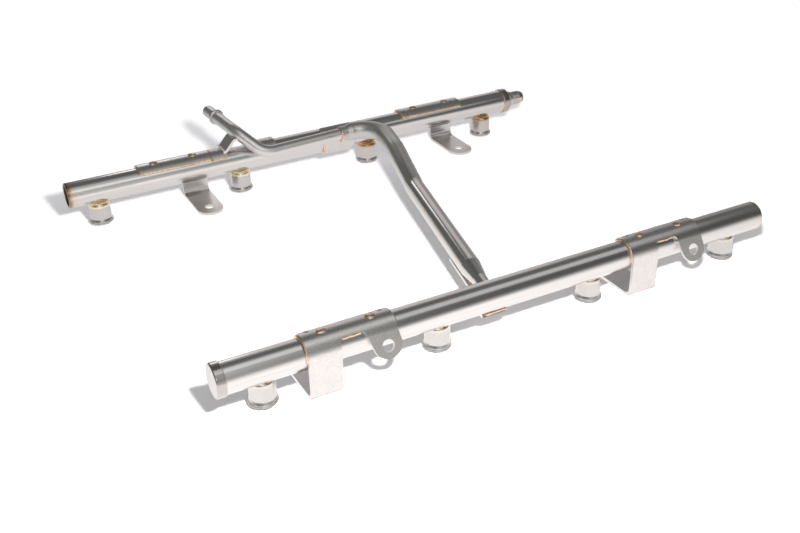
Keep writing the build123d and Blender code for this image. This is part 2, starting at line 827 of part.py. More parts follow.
with BuildPart() as valve_pin:
    with BuildSketch():
        with BuildLine():
            Polyline(
                (poppet_face - poppet_length - pin_tail, 0),
                (poppet_face - poppet_length - pin_tail, pin_radius),
                (poppet_face - poppet_length, pin_radius),
                (poppet_face - poppet_length, poppet_diameter / 2),
                (poppet_face, poppet_diameter / 2),
                (poppet_face, pin_radius),
                (collar_start, pin_radius),
                (collar_start, pin_collar_diameter / 2),
                (collar_start + pin_collar_length, pin_collar_diameter / 2),
                (collar_start + pin_collar_length, pin_radius),
                (core_face + pin_proud, pin_radius),
                (core_face + pin_proud, 0),
                close=True,
            )
        make_face()
    revolve(axis=Axis.X)
save(valve_pin.part.moved(port_place), "valve_pin")

# Rubber washer on the poppet, which meets the core's inner end
with BuildPart() as valve_pin_seal:
    with BuildSketch():
        with BuildLine():
            Polyline(
                (poppet_face, pin_radius + pin_clearance),
                (poppet_face, poppet_diameter / 2),
                (washer_face, poppet_diameter / 2),
                (washer_face, pin_radius + pin_clearance),
                close=True,
            )
        make_face()
    revolve(axis=Axis.X)
save(valve_pin_seal.part.moved(port_place), "valve_pin_seal")

# Coil spring between the core and the pin's collar
spring_radius = (core_spring_bore / 2 + pin_radius) / 2
spring_height = collar_start - spring_seat - spring_wire - 2 * core_clearance

with BuildPart() as valve_spring:
    with BuildLine() as coil:
        Helix(
            pitch=spring_height / spring_turns,
            height=spring_height,
            radius=spring_radius,
            center=(spring_seat + core_clearance + spring_wire / 2, 0, 0),
            direction=(1, 0, 0),
        )
    with BuildSketch(Plane(origin=coil.line @ 0, z_dir=coil.line % 0)):
        Circle(spring_wire / 2)
    sweep(is_frenet=True)
save(valve_spring.part.moved(port_place), "valve_spring")
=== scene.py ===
from math import cos, pi, radians, sin, sqrt

import bpy
from mathutils import Matrix, Vector, noise


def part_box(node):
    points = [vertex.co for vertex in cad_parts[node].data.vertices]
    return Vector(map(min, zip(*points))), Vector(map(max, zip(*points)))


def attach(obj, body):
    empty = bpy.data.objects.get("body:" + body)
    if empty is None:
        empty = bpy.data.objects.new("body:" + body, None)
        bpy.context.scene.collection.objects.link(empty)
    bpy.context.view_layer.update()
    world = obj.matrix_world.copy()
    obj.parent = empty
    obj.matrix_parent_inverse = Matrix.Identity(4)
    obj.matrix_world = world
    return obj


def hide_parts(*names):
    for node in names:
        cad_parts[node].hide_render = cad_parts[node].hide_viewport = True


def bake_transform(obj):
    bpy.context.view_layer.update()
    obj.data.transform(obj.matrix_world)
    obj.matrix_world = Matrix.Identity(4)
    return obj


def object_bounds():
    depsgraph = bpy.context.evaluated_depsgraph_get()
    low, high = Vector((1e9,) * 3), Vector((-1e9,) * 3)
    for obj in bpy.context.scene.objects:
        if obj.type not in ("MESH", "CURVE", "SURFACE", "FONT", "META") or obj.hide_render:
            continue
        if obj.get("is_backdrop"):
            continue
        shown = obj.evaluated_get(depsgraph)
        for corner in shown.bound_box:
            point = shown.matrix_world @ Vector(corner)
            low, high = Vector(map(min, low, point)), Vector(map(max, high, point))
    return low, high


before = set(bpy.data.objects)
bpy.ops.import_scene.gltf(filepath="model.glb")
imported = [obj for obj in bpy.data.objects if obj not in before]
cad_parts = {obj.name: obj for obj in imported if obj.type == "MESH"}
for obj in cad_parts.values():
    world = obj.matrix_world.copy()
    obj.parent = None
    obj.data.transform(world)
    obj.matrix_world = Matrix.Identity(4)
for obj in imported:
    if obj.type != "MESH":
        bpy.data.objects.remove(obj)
cad_low, cad_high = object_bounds()
bpy.ops.object.select_all(action="DESELECT")

# The two rails are drawn stainless tube with a satin finish, polished along their length.
# They come first, because everything else is brazed to them. Fine straight lines run from end
# to end, and the furnace has left brown ends and a straw tint beside each bracket.
satin_steel = (0.80, 0.775, 0.765, 1.0)
worn_steel = (0.60, 0.585, 0.575, 1.0)
straw_tint = (0.80, 0.66, 0.48, 1.0)
brown_tint = (0.24, 0.14, 0.09, 1.0)
# Lengths are in metres and pattern scales in cells per metre
rail_line_cells = (9.0, 1500.0, 1500.0)
line_noise = (0.4, 0.8)
line_wear = (0.0, 0.6)
line_depth = 0.00001
stain_share = 0.035
satin_roughness = (0.15, 0.27)
# Nearly all values of a noise texture lie in this range
usual_noise = (0.3, 0.7)
tint_cloud_scale = 260.0
tint_wander = 0.003
hot_share = (0.0, 0.5)
warm_share = (0.3, 1.0)
tint_full = 0.0015
end_tint_reach = 0.009
end_tint_start = {"near": 0.0045, "far": 0.0}
saddle_tint_start = 0.0066
saddle_length = 0.0556


def start_group(name, inputs, outputs):
    group = bpy.data.node_groups.new(name, "ShaderNodeTree")
    for label, kind, value in inputs:
        socket = group.interface.new_socket(label, in_out="INPUT", socket_type=kind)
        if value is not None:
            socket.default_value = value
    for label, kind in outputs:
        group.interface.new_socket(label, in_out="OUTPUT", socket_type=kind)
    return group, group.nodes.new("NodeGroupInput"), group.nodes.new("NodeGroupOutput")


def add_node(tree, kind, **settings):
    node = tree.nodes.new(kind)
    for key, value in settings.items():
        if key in node.inputs:
            node.inputs[key].default_value = value
        else:
            setattr(node, key, value)
    return node


def map_range(tree, source, target=(0.0, 1.0)):
    node = add_node(tree, "ShaderNodeMapRange")
    labels = ("From Min", "From Max", "To Min", "To Max")
    for label, value in zip(labels, source + target):
        node.inputs[label].default_value = value
    return node


def drawn_lines_group():
    # The pattern is squeezed across the tube by the Mapping node before it, so it shows as lines
    group, start, end = start_group(
        "drawn_lines",
        [
            ("Vector", "NodeSocketVector", None),
            ("Light metal", "NodeSocketColor", satin_steel),
            ("Dark metal", "NodeSocketColor", worn_steel),
        ],
        [
            ("Color", "NodeSocketColor"),
            ("Roughness", "NodeSocketFloat"),
            ("Height", "NodeSocketFloat"),
        ],
    )
    lines = add_node(group, "ShaderNodeTexNoise", Scale=1.0, Detail=6.0, Roughness=0.7)
    stains = add_node(group, "ShaderNodeTexNoise", Scale=stain_share, Detail=3.0, Roughness=0.55)
    line_strength = map_range(group, line_noise, line_wear)
    rough = map_range(group, usual_noise, satin_roughness)
    mix = add_node(group, "ShaderNodeMix", data_type="RGBA")
    link = group.links.new
    link(start.outputs["Vector"], lines.inputs["Vector"])
    link(start.outputs["Vector"], stains.inputs["Vector"])
    link(lines.outputs["Fac"], line_strength.inputs["Value"])
    link(line_strength.outputs["Result"], mix.inputs["Factor"])
    link(start.outputs["Light metal"], mix.inputs["A"])
    link(start.outputs["Dark metal"], mix.inputs["B"])
    link(stains.outputs["Fac"], rough.inputs["Value"])
    link(mix.outputs["Result"], end.inputs["Color"])
    link(rough.outputs["Result"], end.inputs["Roughness"])
    link(lines.outputs["Fac"], end.inputs["Height"])
    return group


def heat_tint_group():
    # The nearer a point lies to the heat, the further its colour goes from clean metal over the
    # warm tint to the hot one
    group, start, end = start_group(
        "heat_tint",
        [
            ("Vector", "NodeSocketVector", None),
            ("Metal", "NodeSocketColor", satin_steel),
            ("Hot tint", "NodeSocketColor", brown_tint),
            ("Warm tint", "NodeSocketColor", straw_tint),
            ("Distance", "NodeSocketFloat", 0.0),
            ("Near", "NodeSocketFloat", 0.0),
            ("Far", "NodeSocketFloat", 1.0),
        ],
        [("Color", "NodeSocketColor")],
    )
    cloud = add_node(group, "ShaderNodeTexNoise", Scale=tint_cloud_scale, Detail=4.0)
    shift = add_node(group, "ShaderNodeMath", operation="MULTIPLY_ADD")
    shift.inputs[1].default_value = tint_wander
    reach = add_node(group, "ShaderNodeMapRange")
    hot_part = map_range(group, hot_share)
    warm_part = map_range(group, warm_share)
    tint = add_node(group, "ShaderNodeMix", data_type="RGBA")
    mix = add_node(group, "ShaderNodeMix", data_type="RGBA")
    link = group.links.new
    link(start.outputs["Vector"], cloud.inputs["Vector"])
    link(cloud.outputs["Fac"], shift.inputs[0])
    link(start.outputs["Distance"], shift.inputs[2])
    link(shift.outputs["Value"], reach.inputs["Value"])
    link(start.outputs["Near"], reach.inputs["From Min"])
    link(start.outputs["Far"], reach.inputs["From Max"])
    link(reach.outputs["Result"], hot_part.inputs["Value"])
    link(reach.outputs["Result"], warm_part.inputs["Value"])
    link(start.outputs["Hot tint"], tint.inputs["A"])
    link(start.outputs["Warm tint"], tint.inputs["B"])
    link(hot_part.outputs["Result"], tint.inputs["Factor"])
    link(warm_part.outputs["Result"], mix.inputs["Factor"])
    link(tint.outputs["Result"], mix.inputs["A"])
    link(start.outputs["Metal"], mix.inputs["B"])
    link(mix.outputs["Result"], end.inputs["Color"])
    return group


drawn_lines = drawn_lines_group()
heat_tint = heat_tint_group()


def start_material(name):
    material = bpy.data.materials.new(name)
    material.use_nodes = True
    shader = material.node_tree.nodes["Principled BSDF"]
    return material, material.node_tree, shader


def add_heat(tree, place, metal, zones, near, far, hot=brown_tint, warm=straw_tint):
    # Each zone is an axis, the place of a heated joint on it, and how much further off it counts
    apart = add_node(tree, "ShaderNodeSeparateXYZ")
    tree.links.new(place.outputs["Object"], apart.inputs["Vector"])
    nearest = None
    for axis, centre, extra in zones:
        offset = add_node(tree, "ShaderNodeMath", operation="SUBTRACT")
        offset.inputs[1].default_value = centre
        size = add_node(tree, "ShaderNodeMath", operation="ABSOLUTE")
        further = add_node(tree, "ShaderNodeMath", operation="ADD")
        further.inputs[1].default_value = extra
        tree.links.new(apart.outputs[axis], offset.inputs[0])
        tree.links.new(offset.outputs["Value"], size.inputs[0])
        tree.links.new(size.outputs["Value"], further.inputs[0])
        if nearest is None:
            nearest = further
            continue
        smaller = add_node(tree, "ShaderNodeMath", operation="MINIMUM")
        tree.links.new(nearest.outputs["Value"], smaller.inputs[0])
        tree.links.new(further.outputs["Value"], smaller.inputs[1])
        nearest = smaller
    tint = add_node(tree, "ShaderNodeGroup")
    tint.node_tree = heat_tint
    for label, value in (("Hot tint", hot), ("Warm tint", warm), ("Near", near), ("Far", far)):
        tint.inputs[label].default_value = value
    tree.links.new(place.outputs["Object"], tint.inputs["Vector"])
    tree.links.new(metal, tint.inputs["Metal"])
    tree.links.new(nearest.outputs["Value"], tint.inputs["Distance"])
    return tint.outputs["Color"]


def drawn_material(
    name, cells, turn=0.0, metal=satin_steel, zones=(), reach=end_tint_reach, hot=brown_tint
):
    # Steel with lines along one direction. The cells are counted per metre along and across the
    # tube or, where the tube is turned, are the length and width of one cell
    material, tree, shader = start_material(name)
    place = add_node(tree, "ShaderNodeTexCoord")
    mapping = add_node(tree, "ShaderNodeMapping", Scale=cells, Rotation=(0.0, 0.0, turn))
    mapping.vector_type = "TEXTURE" if turn else "POINT"
    surface = add_node(tree, "ShaderNodeGroup")
    surface.node_tree = drawn_lines
    surface.inputs["Light metal"].default_value = metal
    bump = add_node(tree, "ShaderNodeBump", Strength=0.4, Distance=line_depth)
    colour = surface.outputs["Color"]
    if zones:
        colour = add_heat(tree, place, colour, zones, tint_full, reach, hot)
    link = tree.links.new
    link(place.outputs["Object"], mapping.inputs["Vector"])
    link(mapping.outputs["Vector"], surface.inputs["Vector"])
    link(colour, shader.inputs["Base Color"])
    link(surface.outputs["Roughness"], shader.inputs["Roughness"])
    link(surface.outputs["Height"], bump.inputs["Height"])
    link(bump.outputs["Normal"], shader.inputs["Normal"])
    shader.inputs["Metallic"].default_value = 1.0
    return material


def finish_node(name, material):
    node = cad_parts[name]
    node.data.materials.clear()
    node.data.materials.append(material)


near_low, near_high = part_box("rail_tube_near")
far_low, far_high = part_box("rail_tube_far")
rail_radius = (near_high.z - near_low.z) / 2
rail_y = {"near": (near_low.y + near_high.y) / 2, "far": (far_low.y + far_high.y) / 2}
rail_z = (near_low.z + near_high.z) / 2
rail_ends = {"near": (near_low.x, near_high.x), "far": (far_low.x, far_high.x)}


def saddle_ends(bank, side):
    # The leg's end of a bracket's saddle, then the ear's end
    low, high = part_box(f"bracket_{bank}_{side}")
    if bank == "near":
        return low.x, low.x + saddle_length
    return high.x, high.x - saddle_length


for bank in ("near", "far"):
    heated = [("X", end, end_tint_start[bank]) for end in rail_ends[bank]]
    for side in ("left", "right"):
        heated += [("X", end, saddle_tint_start) for end in saddle_ends(bank, side)]
    rail_steel = drawn_material(f"rail_steel_{bank}", rail_line_cells, zones=heated)
    finish_node(f"rail_tube_{bank}", rail_steel)

# The injector cups are deep-drawn from stainless sheet, with a flared mouth for the injector's seal.
# Their wall is matt grey. Braze has run over the ledge beside the tube and left it pale on the near
# cups, gold on the far rail's two left cups and copper brown on its two right ones.
cup_steel = (0.66, 0.64, 0.625, 1.0)
cup_contrast = 0.1
cup_roughness = (0.20, 0.36)
dull_roughness = (0.34, 0.56)
pale_ledge = (0.76, 0.72, 0.67, 1.0)
gold_ledge = (1.0, 0.88, 0.62, 1.0)
copper_ledge = (0.70, 0.44, 0.26, 1.0)
ledge_tints = {
    "near": (pale_ledge, pale_ledge, pale_ledge, pale_ledge),
    "far": (gold_ledge, gold_ledge, copper_ledge, copper_ledge),
}
ledge_height = 0.0172
ledge_half = 0.0030
ledge_fade = 0.0042
grain_scale = 2000.0
grain_cloud_scale = 150.0
grain_cloud_share = 0.25
grain_noise = (0.4, 0.85)
grain_depth = 0.00008


def matt_grain_group():
    # Fine grain and a faint cloud make the metal lighter or darker by up to the contrast
    group, start, end = start_group(
        "matt_grain",
        [
            ("Vector", "NodeSocketVector", None),
            ("Metal", "NodeSocketColor", cup_steel),
            ("Contrast", "NodeSocketFloat", cup_contrast),
            ("Smoothest", "NodeSocketFloat", cup_roughness[0]),
            ("Roughest", "NodeSocketFloat", cup_roughness[1]),
        ],
        [
            ("Color", "NodeSocketColor"),
            ("Roughness", "NodeSocketFloat"),
            ("Height", "NodeSocketFloat"),
        ],
    )
    grain = add_node(group, "ShaderNodeTexNoise", Scale=grain_scale, Detail=3.0, Roughness=0.65)
    cloud = add_node(group, "ShaderNodeTexNoise", Scale=grain_cloud_scale, Detail=4.0)
    both = add_node(group, "ShaderNodeMath", operation="MULTIPLY_ADD")
    both.inputs[1].default_value = grain_cloud_share
    spread = map_range(group, grain_noise, (1.0, -1.0))
    strength = add_node(group, "ShaderNodeMath", operation="MULTIPLY_ADD")
    strength.inputs[2].default_value = 1.0
    shaded = add_node(group, "ShaderNodeMix", data_type="RGBA", blend_type="MULTIPLY")
    shaded.inputs["Factor"].default_value = 1.0
    rough = map_range(group, usual_noise)
    link = group.links.new
    link(start.outputs["Vector"], grain.inputs["Vector"])
    link(start.outputs["Vector"], cloud.inputs["Vector"])
    link(cloud.outputs["Fac"], both.inputs[0])
    link(grain.outputs["Fac"], both.inputs[2])
    link(start.outputs["Smoothest"], rough.inputs["To Min"])
    link(start.outputs["Roughest"], rough.inputs["To Max"])
    link(both.outputs["Value"], spread.inputs["Value"])
    link(spread.outputs["Result"], strength.inputs[0])
    link(start.outputs["Contrast"], strength.inputs[1])
    link(start.outputs["Metal"], shaded.inputs["A"])
    link(strength.outputs["Value"], shaded.inputs["B"])
    link(shaded.outputs["Result"], end.inputs["Color"])
    link(grain.outputs["Fac"], rough.inputs["Value"])
    link(rough.outputs["Result"], end.inputs["Roughness"])
    link(grain.outputs["Fac"], end.inputs["Height"])
    return group


matt_grain = matt_grain_group()


def matt_material(name, metal, contrast, roughness=dull_roughness, ledge_tint=None):
    # Metal with a fine grain and no direction. On a cup, the ledge beside the tube is tinted
    material, tree, shader = start_material(name)
    place = add_node(tree, "ShaderNodeTexCoord")
    surface = add_node(tree, "ShaderNodeGroup")
    surface.node_tree = matt_grain
    surface.inputs["Metal"].default_value = metal
    surface.inputs["Contrast"].default_value = contrast
    surface.inputs["Smoothest"].default_value = roughness[0]
    surface.inputs["Roughest"].default_value = roughness[1]
    bump = add_node(tree, "ShaderNodeBump", Strength=0.5, Distance=grain_depth)
    colour = surface.outputs["Color"]
    if ledge_tint:
        ledge = [("Z", ledge_height, 0.0)]
        reach = ledge_half, ledge_fade
        colour = add_heat(tree, place, colour, ledge, *reach, ledge_tint, ledge_tint)
    link = tree.links.new
    link(place.outputs["Object"], surface.inputs["Vector"])
    link(colour, shader.inputs["Base Color"])
    link(surface.outputs["Roughness"], shader.inputs["Roughness"])
    link(surface.outputs["Height"], bump.inputs["Height"])
    link(bump.outputs["Normal"], shader.inputs["Normal"])
    shader.inputs["Metallic"].default_value = 1.0
    return material


for bank, tints in ledge_tints.items():
    for number, tint in enumerate(tints, start=1):
        name = f"injector_cup_{bank}_{number}"
        cup_metal = matt_material(f"{name}_steel", cup_steel, cup_contrast, cup_roughness, tint)
        finish_node(name, cup_metal)

# Copper braze fills the joint between each cup and its tube. It was melted in a furnace, so it lies
# as a thin uneven fillet that follows the edge of the joint all the way round.
copper = (0.97, 0.76, 0.58, 1.0)
dark_copper = (0.66, 0.38, 0.22, 1.0)
blotch_scale = 420.0
blotch_noise = (0.45, 0.75)
braze_roughness = (0.24, 0.40)
bead_radius = 0.00055
bead_unevenness = 0.4
bead_ripple = 380.0
cup_offset = 0.0023
cup_drop = 0.02418
cup_height = 0.016
cup_radius = 0.00785
cup_edge_radius = 0.0026


def braze_material():
    material, tree, shader = start_material("braze_copper")
    place = add_node(tree, "ShaderNodeTexCoord")
    blotch = add_node(tree, "ShaderNodeTexNoise", Scale=blotch_scale, Detail=5.0, Roughness=0.6)
    mix = add_node(tree, "ShaderNodeMix", data_type="RGBA")
    mix.inputs["A"].default_value = copper
    mix.inputs["B"].default_value = dark_copper
    spread = map_range(tree, blotch_noise)
    rough = map_range(tree, usual_noise, braze_roughness)
    link = tree.links.new
    link(place.outputs["Object"], blotch.inputs["Vector"])
    link(blotch.outputs["Fac"], spread.inputs["Value"])
    link(spread.outputs["Result"], mix.inputs["Factor"])
    link(mix.outputs["Result"], shader.inputs["Base Color"])
    link(blotch.outputs["Fac"], rough.inputs["Value"])
    link(rough.outputs["Result"], shader.inputs["Roughness"])
    shader.inputs["Metallic"].default_value = 1.0
    return material


braze_copper = braze_material()


def place_braze(bead):
    bead.data.materials.clear()
    bead.data.materials.append(braze_copper)
    bpy.ops.object.shade_smooth()
    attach(bead, "rail")


def ripple(piece, size, frequency):
    # Melted metal is never even, so each point moves in or out a little
    for vertex in piece.data.vertices:
        vertex.co += vertex.normal * noise.noise(vertex.co * frequency) * size


def braze_bead(name, points, radius=bead_radius, closed=False):
    # A line is drawn by extruding one vertex from point to point, then given a round section
    merge_distance = radius / 20
    bpy.ops.mesh.primitive_plane_add(size=radius, location=(0, 0, 0))
    bead = bpy.context.object
    bead.name = name
    bpy.ops.object.mode_set(mode="EDIT")
    bpy.ops.mesh.merge(type="CENTER")
    bpy.ops.transform.translate(value=points[0])
    route = list(points[1:])
    if closed:
        route.append(points[0])
    here = Vector(points[0])
    for point in route:
        step = Vector(point) - here
        bpy.ops.mesh.extrude_region_move(TRANSFORM_OT_translate={"value": step})
        here = Vector(point)
    bpy.ops.mesh.select_all(action="SELECT")
    bpy.ops.mesh.remove_doubles(threshold=merge_distance)
    bpy.ops.object.mode_set(mode="OBJECT")
    bpy.ops.object.convert(target="CURVE")
    bead.data.bevel_depth = radius
    bead.data.bevel_resolution = 2
    bead.data.use_fill_caps = True
    bpy.ops.object.convert(target="MESH")
    bead = bpy.context.object
    ripple(bead, radius * bead_unevenness, bead_ripple)
    place_braze(bead)


def cup_joint_points(centre_x, bank, steps=20):
    # The wall's edge curves up round the tube on both sides and ends at the flat top's straight edge
    inboard = 1.0 if bank == "near" else -1.0
    edge_start = cup_height - cup_edge_radius
    flat_radius = cup_radius - cup_edge_radius
    top_across = sqrt(rail_radius**2 - (cup_drop - cup_height) ** 2)
    outer_across = cup_offset - cup_radius
    right_side = []
    for step in range(steps + 1):
        across = outer_across + (top_across - outer_across) * (1 - cos(pi * step / steps)) / 2
        height = cup_drop - sqrt(max(0.0, rail_radius**2 - across**2))
        radius = cup_radius
        if height > edge_start:
            rise = min(height - edge_start, cup_edge_radius)
            radius = flat_radius + sqrt(cup_edge_radius**2 - rise**2)
        x = centre_x + sqrt(max(0.0, radius**2 - (across - cup_offset) ** 2))
        y = rail_y[bank] + inboard * across
        right_side.append(Vector((x, y, rail_z - cup_drop + height)))
    left_side = [Vector((2 * centre_x - point.x, point.y, point.z)) for point in right_side[1:]]
    return right_side[::-1] + left_side


for bank, tints in ledge_tints.items():
    for number in range(1, len(tints) + 1):
        low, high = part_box(f"injector_cup_{bank}_{number}")
        joint = cup_joint_points((low.x + high.x) / 2, bank)
        braze_bead(f"cup_braze_{bank}_{number}", joint, closed=True)

# The tube ends are closed by drawn caps and dished plugs, brazed like the cups. The caps are smooth
# steel with a thin ring of braze along their edge. The plugs are brown with scale from the furnace,
# and their ring of braze lies just inside the tube's end.
cap_metal = (0.54, 0.505, 0.495, 1.0)
cap_line_cells = (900.0, 120.0, 120.0)
plug_brown = (0.20, 0.15, 0.12, 1.0)
plug_contrast = 0.4
rail_wall = 0.00125
cap_ring_lift = 0.0002
cap_ring_thickness = 0.00045
plug_ring_inset = 0.0009
plug_ring_gap = 0.0003
plug_ring_thickness = 0.0005
ring_ripple = 500.0
cap_steel = drawn_material("cap_steel", cap_line_cells, metal=cap_metal)
plug_scale = matt_material("plug_scale", plug_brown, plug_contrast)
for bank in ("near", "far"):
    finish_node(f"end_cap_{bank}", cap_steel)
    finish_node(f"end_plug_{bank}", plug_scale)


def on_axis(bank, x):
    return (x, rail_y[bank], rail_z)


def braze_ring(
    name, centre, radius, thickness, slot_name="cap_steel", unevenness=0.5, segments=96
):
    bpy.ops.mesh.primitive_torus_add(
        location=centre,
        rotation=(0.0, pi / 2, 0.0),
        major_radius=radius,
        minor_radius=thickness,
        major_segments=segments,
        minor_segments=10,
    )
    ring = bpy.context.object
    ring.name = name
    bpy.ops.object.transform_apply(location=True, rotation=True, scale=True)
    ripple(ring, thickness * unevenness, ring_ripple)
    place_braze(ring)


near_cap_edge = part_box("end_cap_near")[1].x
far_cap_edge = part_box("end_cap_far")[0].x
cap_ring = rail_radius + cap_ring_lift, cap_ring_thickness
braze_ring("cap_braze_near", on_axis("near", near_cap_edge), *cap_ring)
braze_ring("cap_braze_far", on_axis("far", far_cap_edge), *cap_ring)
plug_bore = rail_radius - rail_wall
plug_ring = plug_bore - plug_ring_gap, plug_ring_thickness
braze_ring("plug_braze_near", on_axis("near", near_high.x - plug_ring_inset), *plug_ring)
braze_ring("plug_braze_far", on_axis("far", far_low.x + plug_ring_inset), *plug_ring)

# The four brackets are one stamping, folded from 2 mm stainless sheet and tumbled, which leaves a
# grainy grey skin. Each is furnace brazed over the tube: copper shows along the saddle's edges, and
# in a small pool beside each punched dimple.
stamping_steel = (0.77, 0.74, 0.725, 1.0)
stamping_contrast = 0.16
stamping_roughness = (0.22, 0.38)
sheet = 0.002
saddle_half_span = radians(45.0)
leg_side_span = radians(92.0)
notch_start = 0.0225
notch_end = 0.0335
saddle_bead = 0.0011
saddle_bead_lift = 0.4
spot_inset = 0.0126
spot_angles = {"near": radians(-2.0), "far": radians(3.0)}
spot_radius = 0.0029
spot_shape = (1.1, 0.95, 0.34)
spot_unevenness = 0.16
spot_ripple = 330.0
stamped = matt_material("stamped_steel", stamping_steel, stamping_contrast, stamping_roughness)


def round_tube(x, angle, bank, radius):
    # A point beside the rail's axis: angle 0 is the top, and positive angles are inboard
    inboard = 1.0 if bank == "near" else -1.0
    return Vector((x, rail_y[bank] + inboard * radius * sin(angle), rail_z + radius * cos(angle)))


def braze_spot(name, centre, outward, radius=spot_radius):
    bpy.ops.mesh.primitive_uv_sphere_add(
        segments=24, ring_count=12, radius=radius, location=(0, 0, 0)
    )
    spot = bpy.context.object
    spot.name = name
    bpy.ops.transform.resize(value=spot_shape)
    bpy.ops.object.transform_apply(location=True, rotation=True, scale=True)
    turn = Vector((0.0, 0.0, 1.0)).rotation_difference(outward).to_matrix().to_4x4()
    spot.data.transform(Matrix.Translation(centre) @ turn)
    ripple(spot, radius * spot_unevenness, spot_ripple)
    place_braze(spot)


def braze_round(name, x, bank, start_angle, end_angle, steps=14):
    # A bead round the tube, beside the end of a saddle
    lift = rail_radius + saddle_bead * saddle_bead_lift
    angles = [start_angle + (end_angle - start_angle) * step / steps for step in range(steps + 1)]
    arc = [round_tube(x, angle, bank, lift) for angle in angles]
    braze_bead(name, arc, saddle_bead)


def braze_along(name, start_x, end_x, bank, angle, steps=10):
    # A bead along the tube, beside the long edge of a saddle
    lift = rail_radius + saddle_bead * saddle_bead_lift
    places = [start_x + (end_x - start_x) * step / steps for step in range(steps + 1)]
    edge = [round_tube(x, angle, bank, lift) for x in places]
    braze_bead(name, edge, saddle_bead)


for bank in ("near", "far"):
    for side in ("left", "right"):
        name = f"bracket_{bank}_{side}"
        finish_node(name, stamped)
        leg_end, ear_end = saddle_ends(bank, side)
        onward = 1.0 if ear_end > leg_end else -1.0
        braze_round(f"{name}_braze_leg_end", leg_end, bank, saddle_half_span, -leg_side_span)
        braze_round(f"{name}_braze_ear_end", ear_end, bank, saddle_half_span, -saddle_half_span)
        braze_along(f"{name}_braze_edge", leg_end, ear_end, bank, saddle_half_span)
        notch = leg_end + onward * notch_start, leg_end + onward * notch_end
        braze_along(f"{name}_braze_notch", *notch, bank, -saddle_half_span)
        spots = {"leg": leg_end + onward * spot_inset, "ear": ear_end - onward * spot_inset}
        for end, x in spots.items():
            centre = round_tube(x, spot_angles[bank], bank, rail_radius + sheet)
            outward = centre - round_tube(x, 0.0, bank, 0.0)
            braze_spot(f"{name}_spot_{end}", centre, outward)

# The crossover is one bent stainless tube from the far rail to the near rail, and duller at its bend.
# Its first end is swaged to take the inlet tube and lies on a curved plate. Its second end is necked
# and brazed into the near rail, over a tongue that wraps under that rail.
dull_steel = (0.70, 0.685, 0.66, 1.0)
crossover_turn = radians(77.7)
crossover_cell = (0.11, 0.00075, 0.00075)
bend_y = (0.15, 0.21)
bend_extra_roughness = (0.0, 0.24)
crossover_end_x = 0.00235
crossover_lean = 0.2177
neck_radius = 0.0051
neck_bead = 0.0008
neck_steps = 24
tongue_start = 0.013
tongue_half = 0.0032
tongue_bead = 0.0009
tongue_bead_lift = 0.0003
tongue_steps = 10
brace_lip_angle = radians(-145.0)
brace_half_width = 0.0072
plate_top_angle = radians(10.0)
plate_foot_angle = radians(150.0)


def dull_the_bend(material):
    # The roughness rises along Y, from the straight run to the bend beside the far rail
    tree = material.node_tree
    shader = tree.nodes["Principled BSDF"]
    place = add_node(tree, "ShaderNodeTexCoord")
    apart = add_node(tree, "ShaderNodeSeparateXYZ")
    extra = map_range(tree, bend_y, bend_extra_roughness)
    rougher = add_node(tree, "ShaderNodeMath", operation="ADD")
    drawn_roughness = shader.inputs["Roughness"].links[0].from_socket
    link = tree.links.new
    link(place.outputs["Object"], apart.inputs["Vector"])
    link(apart.outputs["Y"], extra.inputs["Value"])
    link(extra.outputs["Result"], rougher.inputs[0])
    link(drawn_roughness, rougher.inputs[1])
    link(rougher.outputs["Value"], shader.inputs["Roughness"])


crossover_steel = drawn_material(
    "crossover_steel", crossover_cell, crossover_turn, metal=dull_steel
)
dull_the_bend(crossover_steel)
finish_node("crossover_tube", crossover_steel)
for name in ("crossover_saddle", "crossover_brace"):
    finish_node(name, stamped)


def crossover_line(distance, across, height):
    # A point beside the crossover's last straight, measured from the near rail's axis
    x = crossover_end_x + crossover_lean * distance + across
    return Vector((x, rail_y["near"] + distance, rail_z + height))


neck_joint = []
for step in range(neck_steps):
    turn = 2 * pi * step / neck_steps
    rise = neck_radius * sin(turn)
    distance = sqrt(rail_radius**2 - rise**2)
    neck_joint.append(crossover_line(distance, neck_radius * cos(turn), rise))
braze_bead("crossover_neck_braze", neck_joint, neck_bead, closed=True)

tongue_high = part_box("crossover_brace")[1]
tongue_top = tongue_high.z - rail_z + tongue_bead_lift
tongue_reach = tongue_high.y - rail_y["near"]
for side, across in (("left", -tongue_half), ("right", tongue_half)):
    tongue_line = []
    for step in range(tongue_steps + 1):
        distance = tongue_start + (tongue_reach - tongue_start) * step / tongue_steps
        tongue_line.append(crossover_line(distance, across, tongue_top))
    name = f"crossover_tongue_braze_{side}"
    braze_bead(name, tongue_line, tongue_bead)
lip = crossover_end_x - brace_half_width, crossover_end_x + brace_half_width
braze_along("crossover_lip_braze", *lip, "near", brace_lip_angle)
plate_low, plate_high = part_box("crossover_saddle")
for side, x in (("left", plate_low.x), ("right", plate_high.x)):
    braze_round(f"crossover_plate_braze_{side}", x, "far", plate_top_angle, plate_foot_angle)

